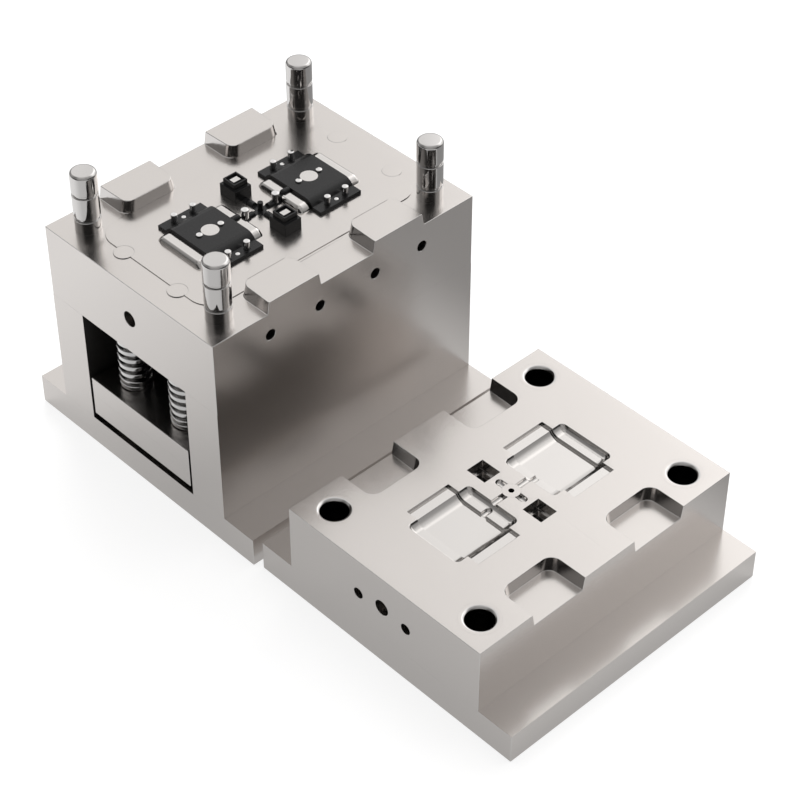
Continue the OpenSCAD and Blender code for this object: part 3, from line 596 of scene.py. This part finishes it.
def set_out(piece, look, centre, across=0.0, along=0.0, left_out=-1):
    """Repeats the piece at both ends of across and of along about the centre, less one spot."""
    run_tree(piece, set_out_nodes, {
        "Across": across, "Along": along, "Columns": 2 if across else 1, "Rows": 2 if along else 1,
        "Centre": (*centre, 0.0), "Left out": left_out, "Finish": look})
    return piece


guide_r, guide_foot, guide_top = 0.008, 0.10, 0.19
collar_r, collar_top = 0.010, 0.106
tip_round, groove_deep, groove_wide, groove_lip = 0.0022, 0.0009, 0.0018, 0.0004
groove_middles, groove_round = (0.159, 0.1755), 0.0001
foot_round, collar_round = 0.0005, 0.0003
guide_shift = 0.002


def guide_pin(name):
    """A pin from its collar up past the oil grooves to its rounded tip."""
    section = [(0, guide_foot, 0), (collar_r, guide_foot, foot_round),
               (collar_r, collar_top, collar_round), (guide_r, collar_top, 0)]
    for middle in groove_middles:
        low, high = middle - groove_wide / 2, middle + groove_wide / 2
        section += [(guide_r, low, groove_lip), (guide_r - groove_deep, low, groove_round),
                    (guide_r - groove_deep, high, groove_round), (guide_r, high, groove_lip)]
    section += [(guide_r, guide_top, tip_round), (0, guide_top, 0)]
    return turned(name, rounded(*section, steps=5), sides=64)


fitted(set_out(guide_pin("guide_pins_turned"), pin_steel, (core_x, core_y),
               guide_across, guide_along, left_out=2), "guide_pins")
fitted(set_out(guide_pin("offset_guide_pin_turned"), pin_steel,
               (core_x + guide_across / 2, core_y - guide_along / 2 + guide_shift)),
       "offset_guide_pin")

# ---------------------------------------------------------------- core pins
# Ground pins pressed into the insert from below. They shape the holes of the two panels: two
# beside each round window, four tall ones and two low ones in the wings.
bright_pin = finish("bright_pin_steel", (0.86, 0.85, 0.845), 0.09, roughness_spread=0.03,
                    grain_contrast=0.02, scratches=0.0)
insert_foot, core_pin_head = 0.12, 0.004


def headed_pin(name, radius, foot, head, top, sides=32, collar=0.0015, ease=0.0003):
    """A pin with a wider head between the heights foot and head, and its top edge eased."""
    wide = radius + collar
    return turned(name, rounded((0, foot, 0), (wide, foot, 0), (wide, head, 0),
                                (radius, head, 0), (radius, top, ease), (0, top, 0)), sides)


panel_y = 0.038
core_pin_rows = (
    # name, radius, top, apart across and along
    ("core_eye_pins", 0.002, 0.1572, 0.0, 0.016),
    ("core_tall_pins", 0.002, 0.158, 0.048, 0.014),
    ("core_wing_pins", 0.0015, 0.1525, 0.048, 0.0),
)
for name, radius, top, across, along in core_pin_rows:
    pins = headed_pin(name, radius, insert_foot, insert_foot + core_pin_head, top)
    set_out(pins, bright_pin, (0, 0), across, along)
    fitted(set_out(pins, bright_pin, (core_x, core_y), along=2 * panel_y), "core_pins")

# ---------------------------------------------------------------- screws of the moving half
# Blackened socket head cap screws: four long ones through clamp plate and spacer blocks into the
# core plate, and four short ones that pull the insert into its pocket from behind.
black_oxide = finish("black_oxide_screw", (0.055, 0.055, 0.06), 0.34, grain_contrast=0.10)


def cap_screw(name, shank, foot, top):
    """A screw with the shank's radius, its head at the foot and its thread's end at the top. Head,
    height and hexagon key are in the standard's proportions."""
    head, high, key, deep = 1.6 * shank, 2 * shank, 0.9 * shank, shank
    rim, under, tip = 0.12 * shank, 0.04 * shank, 0.15 * shank
    section = rounded((0, foot + deep, 0), (key, foot + deep, 0), (key, foot, 0),
                      (head, foot, rim), (head, foot + high, under),
                      (shank, foot + high, 0), (shank, top, tip), (0, top, 0))
    return turned(name, section, sides=36, flats=(foot - touch, foot + deep + touch, key + touch))


screw_across, screw_along = 0.122, 0.104
insert_screw_across, insert_screw_along = 0.074, 0.141
fitted(set_out(cap_screw("core_half_cap_screws", shank=0.005, foot=0.001, top=0.110), black_oxide,
               (core_x, core_y), screw_across, screw_along), "core_half_screws")
fitted(set_out(cap_screw("insert_cap_screws", shank=0.003, foot=0.101, top=0.129), black_oxide,
               (core_x, core_y), insert_screw_across, insert_screw_along),
       "core_insert_screws")

# ---------------------------------------------------------------- rest buttons
# Four hardened discs under the ejector plates, their spigots pressed into the clamp plate, so
# that chips can't lift the plates when they are back.
spigot_r, spigot_foot, button_r, button_top = 0.004, 0.015, 0.008, 0.025
button_across, button_along, button_round = 0.070, 0.160, 0.0004
button = turned("rest_buttons_turned", rounded(
    (0, spigot_foot, 0), (spigot_r, spigot_foot, 0), (spigot_r, spacer_foot, 0),
    (button_r, spacer_foot, 0), (button_r, button_top, button_round), (0, button_top, 0)),
                sides=48)
fitted(set_out(button, pin_steel, (core_x, core_y), button_across, button_along),
       "rest_buttons")

# ---------------------------------------------------------------- ejector plates
# Base and retainer plate, 90 x 200 mm, screwed together round the heads of all the ejector and
# return pins. They are oiled, and slide up between the spacer blocks when the press pushes.
ejector_joint, ejector_screw_across, ejector_screw_along = 0.040, 0.076, 0.120
for node in ("ejector_base_plate", "ejector_retainer_plate"):
    eased(node, plate_edge, [ground_steel, filed_edge_and_highlight],
          lambda spot: abs(spot.z - ejector_joint) < touch)
fitted(set_out(cap_screw("ejector_plate_cap_screws", shank=0.003, foot=0.026, top=0.049),
               black_oxide, (core_x, core_y), ejector_screw_across, ejector_screw_along),
       "ejector_plate_screws")

# ---------------------------------------------------------------- return pins and springs
# Four ground pins push the ejector plates back as the mould shuts. A spring coiled from flat
# chrome wire sits round each, between the retainer plate and a pocket in the core plate.
return_across, return_along, return_r, return_head = 0.048, 0.165, 0.006, 0.045
pins = headed_pin("return_pins_turned", return_r, ejector_joint, return_head, insert_face, sides=48,
                  ease=0.0002)
set_out(pins, pin_steel, (core_x, core_y), return_across, return_along)
other_finish(pins, ground_steel, lambda middle, normal: normal.z > upward)
fitted(pins, "return_pins")


def coil_tree():
    """Geometry Nodes: flat wire wound into a coil whose end turns lie close."""
    tree = bpy.data.node_groups.new("coil_spring", "GeometryNodeTree")
    face, nodes, links = tree.interface, tree.nodes, tree.links
    for name in ("Outer radius", "Wire width", "Wire height", "Foot", "Top", "Turns", "Close gap",
                 "Wire rounding"):
        face.new_socket(name, in_out="INPUT", socket_type="NodeSocketFloat")
    face.new_socket("Finish", in_out="INPUT", socket_type="NodeSocketMaterial")
    face.new_socket("Spring", in_out="OUTPUT", socket_type="NodeSocketGeometry")
    given, result = nodes.new("NodeGroupInput"), nodes.new("NodeGroupOutput")

    turns = given.outputs["Turns"]
    outer, width, wire_height, gap, foot, top = [
        given.outputs[name] for name in ("Outer radius", "Wire width", "Wire height", "Close gap",
                                         "Foot", "Top")]

    def sum_of(operation, *parts):
        return reckon(nodes, links, operation, *parts)

    middle = sum_of("SUBTRACT", outer, sum_of("MULTIPLY", width, 0.5))
    wound = nodes.new("GeometryNodeCurveSpiral")
    wound.inputs["Resolution"].default_value = 32
    for socket, source in (("Rotations", turns), ("Start Radius", middle), ("End Radius", middle),
                           ("Height", top)):
        links.new(source, wound.inputs[socket])
    along = nodes.new("GeometryNodeSplineParameter")
    turn = sum_of("MULTIPLY", along.outputs["Factor"], turns)
    close = sum_of("ADD", wire_height, gap)
    last = sum_of("SUBTRACT", turns, 1.0)
    height = sum_of("SUBTRACT", top, foot)
    open_part = sum_of("SUBTRACT", sum_of("SUBTRACT", height, wire_height),
                       sum_of("MULTIPLY", close, 2.0))
    # The wire lies close in the first and the last turn, and open in between.
    level = sum_of("ADD", foot, sum_of("MULTIPLY", wire_height, 0.5))
    for start, stop, rise in ((0.0, 1.0, close), (1.0, last, open_part), (last, turns, close)):
        level = sum_of("ADD", level, ramp(nodes, links, turn, start, stop, 0.0, rise))
    spot = nodes.new("GeometryNodeInputPosition")
    parts, moved = nodes.new("ShaderNodeSeparateXYZ"), nodes.new("ShaderNodeCombineXYZ")
    links.new(spot.outputs[0], parts.inputs[0])
    links.new(parts.outputs["X"], moved.inputs["X"])
    links.new(parts.outputs["Y"], moved.inputs["Y"])
    links.new(level, moved.inputs["Z"])
    place = nodes.new("GeometryNodeSetPosition")
    links.new(wound.outputs[0], place.inputs["Geometry"])
    links.new(moved.outputs[0], place.inputs["Position"])
    upright = nodes.new("GeometryNodeSetCurveNormal")
    upright.mode = "Z_UP"
    links.new(place.outputs[0], upright.inputs[0])
    wire = nodes.new("GeometryNodeCurvePrimitiveQuadrilateral")
    links.new(wire_height, wire.inputs["Height"])
    links.new(width, wire.inputs["Width"])
    fillet = nodes.new("GeometryNodeFilletCurve")
    fillet.mode = "POLY"
    fillet.inputs["Count"].default_value = 3
    links.new(wire.outputs[0], fillet.inputs["Curve"])
    links.new(given.outputs["Wire rounding"], fillet.inputs["Radius"])
    skin = nodes.new("GeometryNodeCurveToMesh")
    skin.inputs["Fill Caps"].default_value = True
    links.new(upright.outputs[0], skin.inputs["Curve"])
    links.new(fillet.outputs[0], skin.inputs["Profile Curve"])
    real = nodes.new("GeometryNodeRealizeInstances")
    links.new(skin.outputs[0], real.inputs[0])
    coat = nodes.new("GeometryNodeSetMaterial")
    links.new(real.outputs[0], coat.inputs["Geometry"])
    links.new(given.outputs["Finish"], coat.inputs["Material"])
    links.new(coat.outputs[0], result.inputs[0])
    return tree


spring_wire = finish("chrome_spring_wire", (0.82, 0.815, 0.81), 0.16, grain_contrast=0.04)
pocket_top, retainer_top, stroke = 0.115, 0.053, 0.020
springs = bpy.data.objects.new("return_springs_wound", bpy.data.meshes.new("return_springs_wound"))
bpy.context.scene.collection.objects.link(springs)
run_tree(springs, coil_tree(), {
    "Outer radius": 0.010, "Wire width": 0.003, "Wire height": 0.0032, "Foot": retainer_top,
    "Top": pocket_top, "Turns": 11.0, "Close gap": 0.0003, "Wire rounding": 0.0006,
    "Finish": spring_wire})
set_out(springs, spring_wire, (core_x, core_y), return_across, return_along)
fitted(springs, "return_springs")
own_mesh(springs)

# ---------------------------------------------------------------- ejector pins
# Slim hardened pins with their heads held between the ejector plates. They end flush with the
# steel under the panels and boxes; two thicker ones stand up beside the sprue and push the runner.
ejector_head = 0.043
box_x, box_pin_x, box_pin_y = 0.022, 0.0034, 0.002


def ejector(node, name, radius, top, centre=(core_x, core_y), across=0.0, along=0.0):
    """Ejector pins whose heads lie in the retainer plate."""
    pins = headed_pin(name, radius, ejector_joint, ejector_head, top, sides=24, ease=0.0)
    set_out(pins, bright_pin, centre, across, along)
    fitted(pins, node)


ejector("ejector_pins", "wing_ejector_pins", radius=0.002, top=insert_face,
        across=0.048, along=0.102)
ejector("ejector_pins", "arch_ejector_pins", radius=0.002, top=insert_face + 0.0038,
        across=0.015, along=0.057)
for end in (-1, 1):
    for side in (-1, 1):
        ejector("ejector_pins", f"box_ejector_pin_{2 + end}{2 + side}", radius=0.0011,
                top=insert_face + 0.0055,
                centre=(core_x + end * box_x + side * box_pin_x, core_y + side * box_pin_y))
ejector("sprue_puller_pin", "sprue_puller_pin_turned", radius=0.0017, top=0.1465)
runner_pin_r, runner_pin_top, runner_pin_along = 0.0024, 0.1573, 0.0235
pins = headed_pin("runner_ejector_pins_turned", runner_pin_r, ejector_joint, ejector_head,
                  runner_pin_top)
fitted(set_out(pins, bright_pin, (core_x, core_y), along=runner_pin_along),
       "runner_ejector_pins")

# ---------------------------------------------------------------- mouldings
# The last shot of black plastic, still on the core: two arched panels, two small boxes with a
# frame on top, and the runner with its short sprue. Satin surfaces with soft moulded edges.
black_plastic = finish("black_moulding", (0.013, 0.013, 0.0135), 0.22, metallic=0.0,
                       depth=0.00003, specular=0.34, grain_size=2500.0, grain_contrast=0.10,
                       clouding=0.10)
moulded_edge = 0.0002
for node in ("moulded_panel_front", "moulded_panel_rear", "moulded_box_left", "moulded_box_right",
             "moulded_runner"):
    eased(node, moulded_edge, [black_plastic], segments=3)

# ---------------------------------------------------------------- fixed clamp plate
# The fixed half's clamp plate, lying underneath. The locating ring's seat is turned into its
# lower face, and the sprue bush goes through its middle.
eased("top_clamp_plate", plate_edge, [ground_steel, filed_edge_and_highlight], plate_joint)

# ---------------------------------------------------------------- cavity plate
# The plate that shapes the outer faces of the mouldings. Panels, boxes and runners are sunk and
# polished in it, the four lock recesses are milled, and it is ground flat on top.
cavity_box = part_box("cavity_plate")
fixed_x, fixed_y = [(low + high) / 2 for low, high in zip(*cavity_box)][:2]
cavity_top = cavity_box[1][2]
cavity_edge, bush_fit_r, sprue_fit_r = 0.00025, 0.0145, 0.0057
pocket_deep, pocket_across, pocket_along = 0.0125, 0.030, 0.064
recess_deep, recess_across, recess_along = 0.012, 0.0748, 0.0998


def cavity_fit(spot):
    """Where the cavity plate closes round the sprue bush and the guide bushes."""
    across, along = abs(spot.x - fixed_x), abs(spot.y - fixed_y)
    bush = math.hypot(across - guide_across / 2, along - guide_along / 2) < bush_fit_r
    return plate_joint(spot) or bush or math.hypot(across, along) < sprue_fit_r


def in_pocket(middle, normal):
    """The faces that shape the mouldings, below the parting face."""
    return (cavity_top - pocket_deep < middle.z < cavity_top - face_slack
            and abs(middle.x - fixed_x) < pocket_across and abs(middle.y - fixed_y) < pocket_along)


def in_recess(middle, normal):
    """The milled walls of the four lock recesses."""
    return (cavity_top - recess_deep < middle.z < cavity_top - face_slack
            and abs(normal.z) < upward and abs(middle.y - fixed_y) < recess_along
            and pocket_across < abs(middle.x - fixed_x) < recess_across)


cavity = eased("cavity_plate", cavity_edge, [ground_steel, filed_edge_and_highlight], cavity_fit)
other_finish(cavity, polished_core, in_pocket)
other_finish(cavity, lock_steel, in_recess)

# ---------------------------------------------------------------- guide bushes
# Four hardened sleeves pressed into the cavity plate, their mouths rounded for the guide pins.
# One sits 2 mm off the even spacing, as its pin does.
bush_r, bush_bore, bush_collar = 0.012, 0.00805, 0.014
bush_foot, bush_collar_top = 0.020, 0.026
bore_round, rim_round, mouth_round = 0.0004, 0.00003, 0.002


def guide_bush(name):
    """A sleeve with a collar at its foot, a flush top and a rounded mouth."""
    section = rounded((bush_bore, bush_foot, bore_round), (bush_collar, bush_foot, collar_round),
                      (bush_collar, bush_collar_top, collar_round), (bush_r, bush_collar_top, 0),
                      (bush_r, cavity_top, rim_round), (bush_bore, cavity_top, mouth_round),
                      steps=6)
    return turned(name, section, sides=64)


for node, centre, across, along in (
        ("guide_bushes", (fixed_x, fixed_y), guide_across, guide_along),
        ("offset_guide_bush", (fixed_x + guide_across / 2,
                               fixed_y + guide_along / 2 - guide_shift), 0.0, 0.0)):
    bush = set_out(guide_bush(node + "_turned"), pin_steel, centre, across, along, left_out=3)
    other_finish(bush, ground_steel,
                 lambda middle, normal: normal.z > straight_up and middle.z > cavity_top - touch)
    fitted(bush, node)

# ---------------------------------------------------------------- sprue bush
# A hardened bush from the nozzle seat under the clamp plate to the parting face, where it is
# ground flush with the cavity plate. Two small screws hold its flange.
sprue_edge, sprue_face_deep, sprue_screw_across = 0.0002, 0.0005, 0.026
sprue_bush = eased("sprue_bush", sprue_edge, [pin_steel], cavity_fit)
other_finish(sprue_bush, ground_steel,
             lambda middle, normal: normal.z > upward and middle.z > cavity_top - sprue_face_deep)
fitted(set_out(cap_screw("sprue_bush_cap_screws", shank=0.002, foot=0.006, top=0.022), black_oxide,
               (fixed_x, fixed_y), sprue_screw_across), "sprue_bush_screws")

# ---------------------------------------------------------------- screws of the fixed half
# Four blackened cap screws pull the cavity plate down on the clamp plate. Their heads lie under
# the clamp plate's lower face.
fitted(set_out(cap_screw("cavity_half_cap_screws", shank=0.005, foot=0.001, top=0.030), black_oxide,
               (fixed_x, fixed_y), screw_across, screw_along), "cavity_half_screws")
